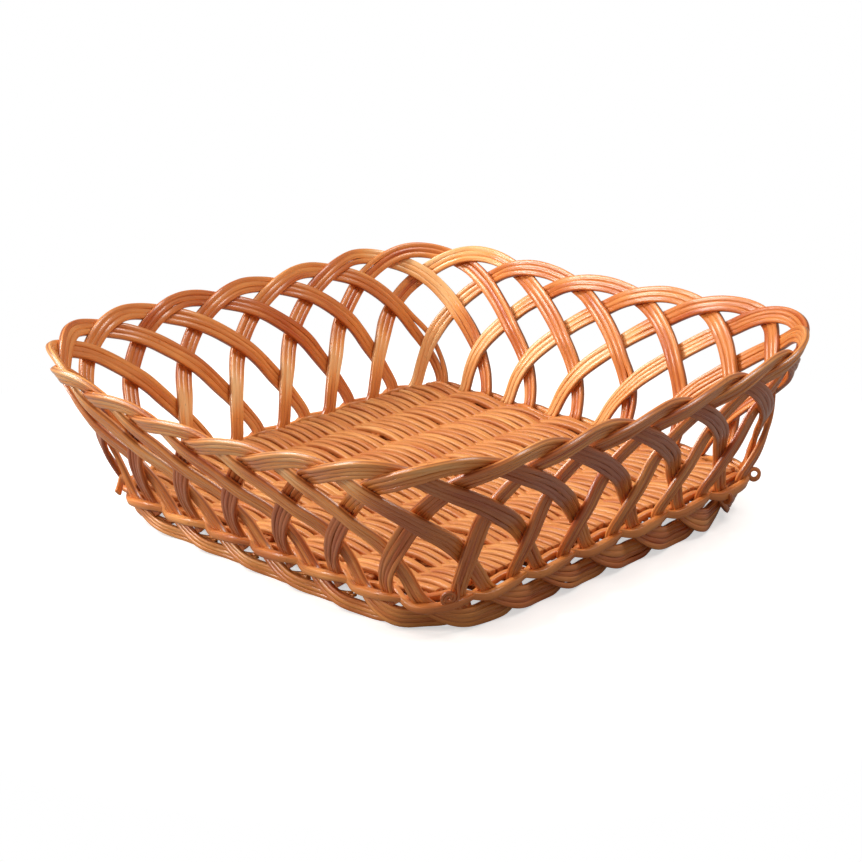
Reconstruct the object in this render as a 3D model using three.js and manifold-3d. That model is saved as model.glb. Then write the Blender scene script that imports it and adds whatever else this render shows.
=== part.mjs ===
// A square wicker basket: an open lattice of arched loops that rises from a woven mat,
// with the loops' own ends turned under as a scalloped foot.
// Millimetres, +Z up. The origin is the middle of the footprint, on the surface the basket stands on.

import * as THREE from 'three';
import { mergeVertices } from 'three/addons/utils/BufferGeometryUtils.js';
import Module from 'manifold-3d';

// Outlines: each is a rounded square through the middle of the wicker, seen from above.
// The front corner is at +X -Y, the right one at +X +Y, the back one at -X +Y and the left one at -X -Y.
const RIM_HALF_X = 126;
const RIM_HALF_Y = 124;
const RIM_CORNER_RADII = { right: 51, back: 51, left: 51, front: 51 };
const BASE_HALF_X = 99.1;
const BASE_HALF_Y = 97.5;
const BASE_CORNER_RADII = { right: 14, back: 14, left: 26, front: 20 };
const FOOT_STEP_OUT = 1.5;
const FOOT_CORNER_RADII = { right: 42, back: 34, left: 43, front: 38 };

// Levels
const BASE_LEVEL = 13.8;
const WALL_RISE = 59.7;
const RIM_WARP = [
  { waves: 1, cosine: -1.2, sine: 2.7 },
  { waves: 2, cosine: 2.6, sine: 0.6 },
  { waves: 3, cosine: -1.1, sine: -1.4 },
  { waves: 4, cosine: -2.2, sine: 0 },
];
const WALL_HOLLOW_SHARE = 0.237;

// The foot is higher at the right corner than at the left, so the basket stands with a slight lean
const LEAN_SLOPE = 0.0237;

// Loops: places are counted in loop pitches, clockwise seen from above, and a crown stands at each whole place
const LOOP_COUNT = 27;
const LOOP_REACH_PITCHES = 2.25;
const ARCH_SPREAD = 1.73;
const ARCH_FULLNESS = 0.723;
const RIM_START_TURN = 0.6286;
const BASE_START_TURN = 0.6377;
const SPACING_DRIFT = [
  { waves: 1, cosine: -0.098, sine: -0.21 },
  { waves: 2, cosine: 0.052, sine: -0.104 },
  { waves: 4, cosine: 0, sine: -0.07 },
];

// Wicker: three round rods lie side by side in every loop
const ROD_DIAMETER = 2.6;
const RODS_PER_LOOP = 3;
const WEAVE_GAP = 0.7;
const CROWN_WIDTH = 7;
const GATHERED_WIDTH = 5.2;
const FOOT_BUNDLE_THICKNESS = 3.2;

// Where a loop changes from one side of its neighbours to the other, in pitches from its crown
const CROWN_CHANGE = { at: 0, half: 0.13 };
const UPPER_CHANGE = { at: 0.8, half: 0.05 };
const LOWER_CHANGE = { at: 1.75, half: 0.13 };
const FOOT_CHANGE_PITCHES = 2.12;

// Foot: the rising end of each loop sweeps along the foot and tucks behind the next one
const FOOT_BUNDLE_SHARE = 0.51;
const FOOT_CUT = 0.5;
const FOOT_TUCK = 3.4;
const FOOT_SWELL = 0.6;
const FOOT_SWEEP_PITCHES = 1.45;
const FOOT_END_LIFT_SHARE = 0.17;
const FALLING_END_DROP = 1.3;

// Twine: one strand that goes round the base twice and binds every pair of loop ends
const TWINE_SWING = 3.15;
const TWINE_LIFT = 1.45;
const TWINE_CROSS_PITCHES = 0.14;

// Mat: bands of rods run along X, over and under hidden stakes that run along Y
const STAKE_COUNT = 7;
const STAKE_INSET = 6.65;
const STAKE_WIDTH = 5;
const BAND_COUNT = 13;
const BAND_THICKNESS = 2.4;
const BAND_GAP = 0.6;
const MAT_CLEARANCE = 0.9;

// Fineness of the solids
const SWEEP_STEPS = 6;
const TWINE_STEPS_PER_PITCH = 4;
const TWINE_SIDES = 5;
const BAND_STEPS_PER_STAKE = 3;
const MAT_CORNER_STEPS = 4;

const wasm = await Module();
wasm.setup();

// Finishes
const honeyWicker = { color: 0xc27a3a, roughness: 0.38, metalness: 0 };
const paleWicker = { color: 0xd08c48, roughness: 0.4, metalness: 0 };
const brownWicker = { color: 0xa9642f, roughness: 0.42, metalness: 0 };

function roundedSquare(halfX, halfY, { right, back, left, front }) {
  const path = new THREE.Path();
  path.moveTo(halfX, 0);
  path.lineTo(halfX, halfY - right);
  path.absarc(halfX - right, halfY - right, right, 0, Math.PI / 2, false);
  path.lineTo(back - halfX, halfY);
  path.absarc(back - halfX, halfY - back, back, Math.PI / 2, Math.PI, false);
  path.lineTo(-halfX, left - halfY);
  path.absarc(left - halfX, left - halfY, left, Math.PI, 1.5 * Math.PI, false);
  path.lineTo(halfX - front, -halfY);
  path.absarc(halfX - front, front - halfY, front, 1.5 * Math.PI, 2 * Math.PI, false);
  path.lineTo(halfX, 0);
  return path;
}

const rimOutline = roundedSquare(RIM_HALF_X, RIM_HALF_Y, RIM_CORNER_RADII);
const baseOutline = roundedSquare(BASE_HALF_X, BASE_HALF_Y, BASE_CORNER_RADII);
const footHalfX = BASE_HALF_X + FOOT_STEP_OUT;
const footHalfY = BASE_HALF_Y + FOOT_STEP_OUT;
const footOutline = roundedSquare(footHalfX, footHalfY, FOOT_CORNER_RADII);

function pointOn(outline, turn) {
  return outline.getPoint(THREE.MathUtils.euclideanModulo(turn, 1));
}

// A slow handmade unevenness round the basket, as a sum of waves
function unevenness(waveList, turn) {
  let sum = 0;
  for (const { waves, cosine, sine } of waveList) {
    const angle = 2 * Math.PI * waves * turn;
    sum += cosine * Math.cos(angle) + sine * Math.sin(angle);
  }
  return sum;
}

// The skin is the middle surface of the wickerwork: the leaning wall above the base and the foot below it
function skinPoint(place, level) {
  const baseTurn = BASE_START_TURN - place / LOOP_COUNT;
  const edge = pointOn(baseOutline, baseTurn);
  if (level < BASE_LEVEL) {
    const drop = Math.min(1, 1 - level / BASE_LEVEL);
    const foot = pointOn(footOutline, baseTurn);
    edge.lerp(foot, drop);
    return new THREE.Vector3(edge.x, edge.y, level);
  }
  const climb = (level - BASE_LEVEL) / WALL_RISE;
  const rimPlace = place + unevenness(SPACING_DRIFT, place / LOOP_COUNT);
  const rimTurn = RIM_START_TURN - rimPlace / LOOP_COUNT;
  const lean = climb * (1 - WALL_HOLLOW_SHARE * (1 - climb));
  edge.lerp(pointOn(rimOutline, rimTurn), lean);
  const rise = WALL_RISE + unevenness(RIM_WARP, rimTurn);
  return new THREE.Vector3(edge.x, edge.y, BASE_LEVEL + rise * climb);
}

function skinNormal(place, level) {
  const placeStep = 0.06;
  const levelStep = 0.0425 * WALL_RISE;
  const along = skinPoint(place + placeStep, level).sub(skinPoint(place - placeStep, level));
  const up = skinPoint(place, level + levelStep).sub(skinPoint(place, level - levelStep));
  return up.cross(along).normalize();
}

function wickerPoint({ place, level, offset }) {
  return skinPoint(place, level).addScaledVector(skinNormal(place, level), offset);
}

// Each stop on a bundle's way becomes a frame that carries one section of its solid
function framesAlong(stops) {
  const centres = stops.map(wickerPoint);
  return stops.map((stop, k) => {
    const before = centres[Math.max(k - 1, 0)];
    const after = centres[Math.min(k + 1, stops.length - 1)];
    const travel = after.clone().sub(before).normalize();
    const across = skinNormal(stop.place, stop.level).cross(travel).normalize();
    const out = travel.clone().cross(across);
    return { centre: centres[k], across, out, width: stop.width, thickness: stop.thickness };
  });
}

// A flat bundle's section, one wide and one thick, with its edges rounded off
const bundleSection = new THREE.Shape([
  new THREE.Vector2(-0.5, 0),
  new THREE.Vector2(-0.33, -0.5),
  new THREE.Vector2(0.33, -0.5),
  new THREE.Vector2(0.5, 0),
  new THREE.Vector2(0.33, 0.5),
  new THREE.Vector2(-0.33, 0.5),
]);

const bandSection = new THREE.Shape([
  new THREE.Vector2(-0.5, -0.5),
  new THREE.Vector2(0.5, -0.5),
  new THREE.Vector2(0.5, 0.5),
  new THREE.Vector2(-0.5, 0.5),
]);

function mergedSolid(geometry) {
  geometry.deleteAttribute('normal');
  geometry.deleteAttribute('uv');
  return mergeVertices(geometry, 1e-4);
}

function sweep(section, frames) {
  const steps = frames.length - 1;
  const geometry = new THREE.ExtrudeGeometry(section, { steps, depth: 1, bevelEnabled: false });
  const position = geometry.getAttribute('position');
  const local = new THREE.Vector3();
  for (let i = 0; i < position.count; i += 1) {
    local.fromBufferAttribute(position, i);
    const frame = frames[Math.round(local.z * steps)];
    const point = frame.centre.clone();
    point.addScaledVector(frame.across, local.x * frame.width);
    point.addScaledVector(frame.out, local.y * frame.thickness);
    position.setXYZ(i, point.x, point.y, point.z);
  }
  return mergedSolid(geometry);
}

function toManifold(geometry) {
  return new wasm.Manifold(new wasm.Mesh({
    numProp: 3,
    vertProperties: geometry.getAttribute('position').array,
    triVerts: new Uint32Array(geometry.getIndex().array),
  }));
}

function fromManifold(solid) {
  const { vertProperties, triVerts } = solid.getMesh();
  const geometry = new THREE.BufferGeometry();
  geometry.setAttribute('position', new THREE.BufferAttribute(new Float32Array(vertProperties), 3));
  geometry.setIndex(new THREE.BufferAttribute(new Uint32Array(triVerts), 1));
  return geometry;
}

// Everything under the standing surface is cut away, which leaves a flat on each scallop of the foot
const reach = 4 * Math.max(RIM_HALF_X, RIM_HALF_Y);
const underground = new THREE.BoxGeometry(reach, reach, reach);
underground.translate(0, 0, -reach / 2);
const standingCut = toManifold(mergedSolid(underground));

function cutFlat(geometry) {
  return fromManifold(toManifold(geometry).subtract(standingCut));
}

function smoothChange(distance, { at, half }) {
  return THREE.MathUtils.smoothstep(distance, at - half, at + half);
}

// How far a loop lies in front of the wall's middle surface at a distance from its crown.
// The rising side goes behind, in front and behind its neighbours, and the falling side the other way round.
function weaveOffset(fromCrown) {
  const distance = Math.abs(fromCrown);
  const crown = smoothChange(distance, CROWN_CHANGE) * 2 - 1;
  const upper = smoothChange(distance, UPPER_CHANGE);
  const lower = smoothChange(distance, LOWER_CHANGE);
  const foot = THREE.MathUtils.smoothstep(distance, FOOT_CHANGE_PITCHES, LOOP_REACH_PITCHES);
  const front = (crown - 2 * upper + 2 * lower) * (1 - foot);
  return Math.sign(fromCrown) * front * (ROD_DIAMETER + WEAVE_GAP) / 2;
}

const bundleWidth = RODS_PER_LOOP * ROD_DIAMETER;
const footBundleWidth = FOOT_BUNDLE_SHARE * BASE_LEVEL;

// A loop is narrow at its crown, where its rods pile up, and where the twine gathers it at the base
function widthAt(distance) {
  const spread = THREE.MathUtils.smoothstep(distance, 0.3, 1.2);
  const gather = THREE.MathUtils.smoothstep(distance, LOWER_CHANGE.at, LOOP_REACH_PITCHES);
  const wide = THREE.MathUtils.lerp(CROWN_WIDTH, bundleWidth, spread);
  return THREE.MathUtils.lerp(wide, GATHERED_WIDTH, gather);
}

// A stop stands at each crossing, at each end of a change of side, and between where the loop bends most
function archDistances() {
  const changes = [UPPER_CHANGE, LOWER_CHANGE].flatMap(({ at, half }) => [at - half, at + half]);
  const crossings = [0.5, 1, 1.5, 2];
  const distances = [CROWN_CHANGE.half, ...changes, ...crossings, FOOT_CHANGE_PITCHES, LOOP_REACH_PITCHES];
  return distances.sort((a, b) => a - b);
}

// The arch is a flattened half ellipse
function archStops(crownPlace) {
  const outward = archDistances();
  const fromCrowns = [...outward.map((distance) => -distance).reverse(), 0, ...outward];
  return fromCrowns.map((fromCrown) => {
    const distance = Math.abs(fromCrown);
    const climb = (1 - (distance / LOOP_REACH_PITCHES) ** ARCH_SPREAD) ** ARCH_FULLNESS;
    return {
      place: crownPlace + fromCrown,
      level: BASE_LEVEL + WALL_RISE * climb,
      offset: weaveOffset(fromCrown),
      width: widthAt(distance),
      thickness: ROD_DIAMETER,
    };
  });
}

// The rising end goes on down and along the foot, first in front of the bundle before it, then behind the next
function footStops(crownPlace) {
  const stops = [];
  for (let k = SWEEP_STEPS; k > 0; k -= 1) {
    const t = k / SWEEP_STEPS;
    const spread = Math.min(1, 2.5 * t);
    const lowest = footBundleWidth / 2 - FOOT_CUT;
    const fall = (BASE_LEVEL - lowest) * (1 - t) ** 3;
    const lift = FOOT_END_LIFT_SHARE * BASE_LEVEL * THREE.MathUtils.smoothstep(t, 0.7, 1);
    const swell = FOOT_SWELL * Math.sin(Math.PI * Math.min(1, t / 0.6));
    const tuck = FOOT_TUCK * THREE.MathUtils.smoothstep(t, 0.45, 0.75);
    stops.push({
      place: crownPlace - LOOP_REACH_PITCHES - FOOT_SWEEP_PITCHES * t,
      level: lowest + fall + lift,
      offset: swell - tuck,
      width: THREE.MathUtils.lerp(GATHERED_WIDTH, footBundleWidth, spread),
      thickness: THREE.MathUtils.lerp(ROD_DIAMETER, FOOT_BUNDLE_THICKNESS, spread),
    });
  }
  return stops;
}

function loopGeometry(crownPlace) {
  const arch = archStops(crownPlace);
  const end = { ...arch[arch.length - 1] };
  end.level -= FALLING_END_DROP;
  return cutFlat(sweep(bundleSection, framesAlong([...footStops(crownPlace), ...arch, end])));
}

// The twine swings from side to side of the loop ends and crosses itself between the two ends of a pair,
// with its second round half a wave behind the first. An even count of loops needs one change of step a round.
function twineStop(step) {
  const pitches = Math.floor(step / TWINE_STEPS_PER_PITCH);
  const share = (step - pitches * TWINE_STEPS_PER_PITCH) / (TWINE_STEPS_PER_PITCH - 1);
  const place = pitches + THREE.MathUtils.lerp(TWINE_CROSS_PITCHES, 1 - TWINE_CROSS_PITCHES, share);
  const changes = LOOP_COUNT % 2 ? 0 : Math.floor(pitches / LOOP_COUNT);
  const side = (pitches + changes) % 2 ? -1 : 1;
  return {
    place: -place,
    level: BASE_LEVEL - TWINE_LIFT * Math.cos(Math.PI * (place - pitches)),
    offset: TWINE_SWING * side,
  };
}

function twineGeometry() {
  const steps = 2 * LOOP_COUNT * TWINE_STEPS_PER_PITCH;
  const geometry = new THREE.TorusGeometry(1, 1, TWINE_SIDES, steps);
  const position = geometry.getAttribute('position');
  const uv = geometry.getAttribute('uv');
  const centres = [];
  for (let step = 0; step < steps; step += 1) {
    centres.push(wickerPoint(twineStop(step)));
  }
  for (let i = 0; i < position.count; i += 1) {
    const step = Math.round(uv.getX(i) * steps) % steps;
    const stop = twineStop(step);
    const ahead = centres[(step + 1) % steps];
    const behind = centres[(step + steps - 1) % steps];
    const travel = ahead.clone().sub(behind).normalize();
    const out = skinNormal(stop.place, stop.level);
    const up = travel.clone().cross(out).normalize().negate();
    out.crossVectors(travel, up);
    const angle = 2 * Math.PI * uv.getY(i);
    const point = centres[step].clone();
    point.addScaledVector(out, Math.cos(angle) * ROD_DIAMETER / 2);
    point.addScaledVector(up, Math.sin(angle) * ROD_DIAMETER / 2);
    position.setXYZ(i, point.x, point.y, point.z);
  }
  return mergedSolid(geometry);
}

// The mat ends where the inner swing of the twine begins
const edgeWork = ROD_DIAMETER / 2 + TWINE_SWING + MAT_CLEARANCE;
const matHalfX = BASE_HALF_X - edgeWork;
const matHalfY = BASE_HALF_Y - edgeWork;
const stakePitch = 2 * (matHalfX - STAKE_INSET) / (STAKE_COUNT - 1);

// The rods of the mat are trimmed to the base outline, inside the edge work
const matShape = new THREE.Shape(roundedSquare(matHalfX, matHalfY, {
  right: BASE_CORNER_RADII.right - edgeWork,
  back: BASE_CORNER_RADII.back - edgeWork,
  left: BASE_CORNER_RADII.left - edgeWork,
  front: BASE_CORNER_RADII.front - edgeWork,
}).getPoints(MAT_CORNER_STEPS));
const matBlock = new THREE.ExtrudeGeometry(matShape, { depth: reach, bevelEnabled: false });
const matTrim = toManifold(mergedSolid(matBlock));

function trimToMat(geometry) {
  return fromManifold(toManifold(geometry).intersect(matTrim));
}

function flatFrame(centre, along, width, thickness) {
  const out = new THREE.Vector3(0, 0, 1);
  return { centre, across: out.clone().cross(along), out, width, thickness };
}

function stakeX(index) {
  return (index - (STAKE_COUNT - 1) / 2) * stakePitch;
}

function stakeGeometry(index) {
  const x = stakeX(index);
  const along = new THREE.Vector3(0, 1, 0);
  const ends = [-BASE_HALF_Y, BASE_HALF_Y].map((y) => new THREE.Vector3(x, y, BASE_LEVEL));
  const frames = ends.map((end) => flatFrame(end, along, STAKE_WIDTH, ROD_DIAMETER));
  return trimToMat(sweep(bundleSection, frames));
}

const bandPitch = 2 * matHalfY / BAND_COUNT;
const bandSwing = (ROD_DIAMETER + BAND_THICKNESS) / 2 + WEAVE_GAP;

function bandGeometry(index) {
  const y = (index - (BAND_COUNT - 1) / 2) * bandPitch;
  const side = index % 2 ? -1 : 1;
  const stepLength = stakePitch / BAND_STEPS_PER_STAKE;
  const overhang = Math.ceil((BASE_HALF_X + stakeX(0)) / stepLength);
  const lastStep = (STAKE_COUNT - 1) * BAND_STEPS_PER_STAKE + overhang;
  const frames = [];
  for (let k = -overhang; k <= lastStep; k += 1) {
    const wave = Math.PI * k / BAND_STEPS_PER_STAKE;
    const height = BASE_LEVEL + side * bandSwing * Math.cos(wave);
    const slope = -side * bandSwing * Math.PI / stakePitch * Math.sin(wave);
    const along = new THREE.Vector3(1, 0, slope).normalize();
    const across = new THREE.Vector3(0, 1, 0);
    const out = along.clone().cross(across);
    const centre = new THREE.Vector3(stakeX(0) + k * stepLength, y, height);
    frames.push({ centre, across, out, width: bandPitch - BAND_GAP, thickness: BAND_THICKNESS });
  }
  return trimToMat(sweep(bandSection, frames));
}

// Everything leans to the left corner, and the standing surface stays level
function settle(geometry) {
  const position = geometry.getAttribute('position');
  for (let i = 0; i < position.count; i += 1) {
    const x = position.getX(i);
    const y = position.getY(i);
    const z = position.getZ(i);
    const towardsRight = (x + y) * Math.SQRT1_2;
    const lift = LEAN_SLOPE * towardsRight * Math.min(1, z / BASE_LEVEL);
    const sway = LEAN_SLOPE * (WALL_RISE - Math.max(0, z - BASE_LEVEL)) * Math.SQRT1_2;
    position.setXYZ(i, x + sway, y + sway, z + lift);
  }
  return geometry;
}

function namedMesh(name, geometry, finish) {
  const mesh = new THREE.Mesh(settle(geometry), new THREE.MeshStandardMaterial(finish));
  mesh.name = name;
  return mesh;
}

function twoDigits(number) {
  return String(number).padStart(2, '0');
}

const basket = new THREE.Group();

for (let loop = 1; loop <= LOOP_COUNT; loop += 1) {
  basket.add(namedMesh(`wall_loop_${twoDigits(loop)}`, loopGeometry(loop), honeyWicker));
}

for (let stake = 0; stake < STAKE_COUNT; stake += 1) {
  basket.add(namedMesh(`base_stake_${stake + 1}`, stakeGeometry(stake), brownWicker));
}

for (let band = 0; band < BAND_COUNT; band += 1) {
  basket.add(namedMesh(`base_band_${twoDigits(band + 1)}`, bandGeometry(band), paleWicker));
}

basket.add(namedMesh('base_twine', twineGeometry(), honeyWicker));

export default basket;
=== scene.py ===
"""A square wicker basket on a white floor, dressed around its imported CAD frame.

Lengths are in millimetres until a mesh is made, and then in metres. A place is a number of loop pitches,
clockwise seen from above, so that loop 5 has its crown at place 5. A level is a height before the basket's
unevenness and lean.
"""

import math
import random

import bpy
import numpy as np
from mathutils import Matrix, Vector


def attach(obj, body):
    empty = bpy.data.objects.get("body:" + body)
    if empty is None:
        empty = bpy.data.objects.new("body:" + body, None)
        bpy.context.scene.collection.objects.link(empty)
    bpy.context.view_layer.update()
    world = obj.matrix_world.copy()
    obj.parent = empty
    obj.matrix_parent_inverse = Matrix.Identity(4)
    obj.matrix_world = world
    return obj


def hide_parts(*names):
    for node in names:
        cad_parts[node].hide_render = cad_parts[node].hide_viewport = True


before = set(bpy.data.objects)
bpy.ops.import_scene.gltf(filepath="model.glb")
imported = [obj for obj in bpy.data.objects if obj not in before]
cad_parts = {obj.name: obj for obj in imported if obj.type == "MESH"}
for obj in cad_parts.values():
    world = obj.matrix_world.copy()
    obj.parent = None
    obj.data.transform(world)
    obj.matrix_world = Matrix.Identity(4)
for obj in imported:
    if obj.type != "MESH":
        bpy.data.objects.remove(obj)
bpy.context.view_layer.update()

MM = 0.001

# Outlines of the wicker's middle surface, as in the CAD source: half sizes along X and Y, and the radii
# of the right, back, left and front corners
RIM = (126.0, 124.0, (51.0, 51.0, 51.0, 51.0))
BASE = (99.1, 97.5, (14.0, 14.0, 26.0, 20.0))
FOOT = (100.6, 99.0, (42.0, 34.0, 43.0, 38.0))

# Levels. A warp or a drift is a sum of waves: how many there are round the basket, and their cosine and
# sine parts.
BASE_LEVEL = 13.8
WALL_RISE = 59.7
RIM_WARP = ((1, -1.2, 2.7), (2, 2.6, 0.6), (3, -1.1, -1.4), (4, -2.2, 0.0))
WALL_HOLLOW = 0.237
LEAN_SLOPE = 0.0237

# Where place 0 is, as a share of the rim's and of the base's length
RIM_START = 0.6286
BASE_START = 0.6377

# Loops, in loop pitches
LOOP_COUNT = 27
LOOP_REACH = 2.25
SPACING_DRIFT = ((1, -0.098, -0.21), (2, 0.052, -0.104), (4, 0.0, -0.07))
ARCH_SPREAD = 1.73
ARCH_FULLNESS = 0.723
CROWN_ROUNDING = 0.32

# Where a loop changes from one side of its neighbours to the other: the distance from its crown, and half
# the length of the change
CROWN_CHANGE = (0.0, 0.42)
UPPER_CHANGE = (0.78, 0.23)
LOWER_CHANGE = (1.75, 0.19)
FOOT_CHANGE_START = 2.12

# A loop's bundle of rods
ROD_DIAMETER = 2.6
WEAVE_GAP = 0.6
FOUR_ROD_LOOPS = range(13, 25)
CROWN_WIDTH = 7.2
LEG_WIDTH = 7.3
LEG_WIDENING = (0.3, 1.2)
GATHERED_WIDTH = 5.6
FOOT_WIDTHS = {3: 5.4, 4: 8.2}
ROD_OVERLAP = (1.06, 1.18)
ROD_THICKNESS = (0.86, 1.0)
FOUR_ROD_THINNING = 0.92

# Shares of the reach where the legs end and the crown between them begins, and how closely the steps
# crowd together towards the mat's edge
LEG_SHARE = 0.6
CROWN_SHARE = 0.59
ARCH_CROWDING = 1.6

# A loop's rising end on the foot. The ranges are shares of its sweep from the mat's edge.
FOOT_SWEEP = 1.45
FOOT_BEGIN = 0.03
FOOT_END = 1.24
FOOT_FALL = 3.1
FOOT_CUT = 0.2
FOOT_SWELL = 0.8
FOOT_SWELL_END = 0.6
FOOT_TUCK = 3.6
FOOT_TUCK_RANGE = (0.45, 0.75)
FOOT_ENDING = (0.95, FOOT_END)
FOOT_END_LIFT = 4.2
FOOT_END_THINNING = 0.6

# A loop's falling end behind the twine
FALLING_END_START = 0.2
FALLING_END_DROP = 3.2
FALLING_END_RUN = 0.12

# Twine
TWINE_SIZE = 3.1
TWINE_THINNING = 0.84
TWINE_SWING = 3.15
TWINE_LIFT = 1.45
TWINE_LEVELLING = 0.12
TWINE_CROSSING = 0.25
TWINE_LEAST = 0.94
TWINE_SWELL = 0.22
TWINE_SWELL_RANGE = (0.05, 0.4)

# Mat
STAKES = 7
STAKE_INSET = 6.65
STAKE_ROD = 2.5
STAKE_END_GAP = 0.3
MAT_BANDS = 13
RODS_PER_BAND = 6
MAT_ROD = 2.6
MAT_ROD_WIDENING = 1.15
MAT_ROD_THINNING = 0.94
MAT_BEND_FULLNESS = 0.8
MAT_ROD_SIZES = (0.9, 1.1)
MAT_ROD_SWINGS = (0.8, 1.02)
MAT_END_GAP = (0.1, 1.2)
EDGE_WORK = 4.9
MAT_HALF_X = BASE[0] - EDGE_WORK
MAT_HALF_Y = BASE[1] - EDGE_WORK
STAKE_PITCH = 2.0 * (MAT_HALF_X - STAKE_INSET) / (STAKES - 1)
MAT_RODS = MAT_BANDS * RODS_PER_BAND
MAT_PITCH = 2.0 * MAT_HALF_Y / MAT_RODS
MAT_SWING = (STAKE_ROD + MAT_ROD) / 2.0
MAT_REPEAT = 13
MAT_REPEAT_START = 4

# Fineness
CORNER_STEPS = 64
NORMAL_PLACE_STEP = 0.09
NORMAL_LEVEL_STEP = 3.0
TRAVEL_STEP = 0.1
ROD_SIDES = 12
MAT_ROD_SIDES = 10
RING_STEP = 1.6
LATEST_START = 4
FOOT_STEPS = 48
LEG_STEPS = 50
CROWN_STEPS = 120
FALLING_END_STEPS = 6
PATH_SOFTENING = 11
NORMAL_SOFTENING = 12
TWINE_STEPS_PER_PITCH = 30
TWINE_SOFTENING = 26
CURL_STEPS = 50
CURL_TAIL_STEPS = 14
STRAY_END_STEPS = 16
STRAY_END_SOFTENING = 6
MAT_ROD_STEPS = 110
MAT_ROD_SOFTENING = 4
STAKE_STEPS = 60

# Wobbles, as a wavelength in mm and a size, and the waves that make each one up, as shares of both
SIDEWAYS_WOBBLE = (70.0, 0.2)
OUTWARD_WOBBLE = (60.0, 0.2)
LOOP_TINT_WOBBLE = (55.0, 0.15)
TWINE_SIZE_WOBBLE = (160.0, 0.05)
TWINE_TINT_WOBBLE = (90.0, 0.4)
MAT_SWING_WOBBLE = (70.0, 0.1)
MAT_SWAY_WOBBLE = (60.0, 0.42)
MAT_SIZE_WOBBLE = (60.0, 0.06)
MAT_TINT_WOBBLE = (60.0, 0.3)
STAKE_WOBBLE = (90.0, 0.1)
WOBBLE_WAVES = ((1.0, 0.6), (0.47, 0.3), (0.23, 0.15))
WAVE_LENGTHS = (0.85, 1.15)

# Tints and how much they differ from rod to rod, how dark the painted shade on the flanks is, how much painted
# shade browns the outer face, and how much painted shade darkens mat rods where they dip under a stake
LOOP_TINTS = (-0.15, 0.15)
LOOP_ROD_TINTS = (-0.3, 0.3)
LOOP_GROOVE = 0.85
TWINE_TINT = 0.2
TWINE_GROOVE = 0.25
CURL_TINT = -0.1
CURL_GROOVE = 0.9
CURL_PAINTED_SHADE = 0.4
STRAY_END_TINT = 0.3
STRAY_END_GROOVE = 0.5
MAT_TINTS = (-0.4, 0.5)
MAT_DIP = (0.0, 0.9)
MAT_DIP_PAINTED_SHADE = 0.5
MAT_GROOVE = 0.6
STAKE_TINTS = (-0.2, 0.2)
STAKE_GROOVE = 0.6

# First seeds of the random draws
LOOP_SEED = 700
TWINE_SEED = 91
BAND_SEED = 300
STAKE_SEED = 500


# Shared sums


def smoothstep(x, low, high):
    """0 up to one value and 1 from another, with a smooth rise between them."""
    t = np.clip((np.asarray(x, float) - low) / (high - low), 0.0, 1.0)
    return t * t * (3.0 - 2.0 * t)


def stretch(x, begins, ends):
    """1 on a stretch that begins over one range of values and ends over another, and 0 elsewhere."""
    return smoothstep(x, *begins) * (1.0 - smoothstep(x, *ends))


def bump_between(x, low, high):
    """0 outside two values and 1 midway between them."""
    middle = 0.5 * (low + high)
    return stretch(x, (low, middle), (middle, high))


def lerp(a, b, t):
    """From a at t = 0 to b at t = 1."""
    return a + (b - a) * t


def unit(vectors):
    """The same directions, each with a length of 1."""
    return vectors / np.maximum(np.linalg.norm(vectors, axis=-1, keepdims=True), 1e-12)


def lengths_along(points):
    """The distance along a path from its first point to each one."""
    return np.concatenate(([0.0], np.cumsum(np.linalg.norm(np.diff(points, axis=0), axis=1))))


def resample(centres, step, *values):
    """Even steps along a path, with each of the values carried over."""
    lengths = lengths_along(centres)
    count = max(4, int(round(lengths[-1] / step)) + 1)
    at = np.linspace(0.0, lengths[-1], count)
    carried = []
    for value in (centres, *values):
        value = np.asarray(value, float)
        if value.ndim == 1:
            carried.append(np.interp(at, lengths, value))
        else:
            columns = [np.interp(at, lengths, value[:, k]) for k in range(value.shape[1])]
            carried.append(np.stack(columns, -1))
    return at, carried


def soften(values, passes):
    """Rounds a path off, with its ends kept."""
    values = np.array(values, float)
    for _ in range(passes):
        values[1:-1] = 0.25 * values[:-2] + 0.5 * values[1:-1] + 0.25 * values[2:]
    return values


def soften_ring(values, passes):
    """Rounds a closed path off."""
    for _ in range(passes):
        values = 0.25 * np.roll(values, 1, 0) + 0.5 * values + 0.25 * np.roll(values, -1, 0)
    return values


def wander(rng, at, wavelength, size):
    """A slow, smooth, repeatable wobble along a rod."""
    total = np.zeros_like(at)
    for scale, share in WOBBLE_WAVES:
        phase = rng.uniform(0.0, 2.0 * math.pi)
        wave_length = wavelength * scale * rng.uniform(*WAVE_LENGTHS)
        total += share * np.sin(2.0 * math.pi * at / wave_length + phase)
    return size * total


# The wickerwork's middle surface


def outline(half_x, half_y, radii):
    """A rounded square's points, counterclockwise from (half_x, 0), and the share of its length at each."""
    points = [(half_x, 0.0)]
    for quarter, (side_x, side_y) in enumerate(((1, 1), (-1, 1), (-1, -1), (1, -1))):
        radius = radii[quarter]
        for k in range(CORNER_STEPS + 1):
            angle = math.radians(90.0 * (quarter + k / CORNER_STEPS))
            points.append((side_x * (half_x - radius) + radius * math.cos(angle),
                           side_y * (half_y - radius) + radius * math.sin(angle)))
    points.append((half_x, 0.0))
    points = np.array(points)
    lengths = lengths_along(points)
    return lengths / lengths[-1], points


OUTLINES = {name: outline(*size) for name, size in (("rim", RIM), ("base", BASE), ("foot", FOOT))}


def point_on(name, turn):
    """The points of an outline at shares of its length."""
    shares, points = OUTLINES[name]
    turn = np.mod(turn, 1.0)
    return np.stack([np.interp(turn, shares, points[:, 0]), np.interp(turn, shares, points[:, 1])], -1)


def unevenness(wave_list, turn):
    """A slow handmade unevenness round the basket, as a sum of waves."""
    total = np.zeros_like(turn)
    for waves, cosine, sine in wave_list:
        angle = 2.0 * math.pi * waves * turn
        total += cosine * np.cos(angle) + sine * np.sin(angle)
    return total


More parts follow.
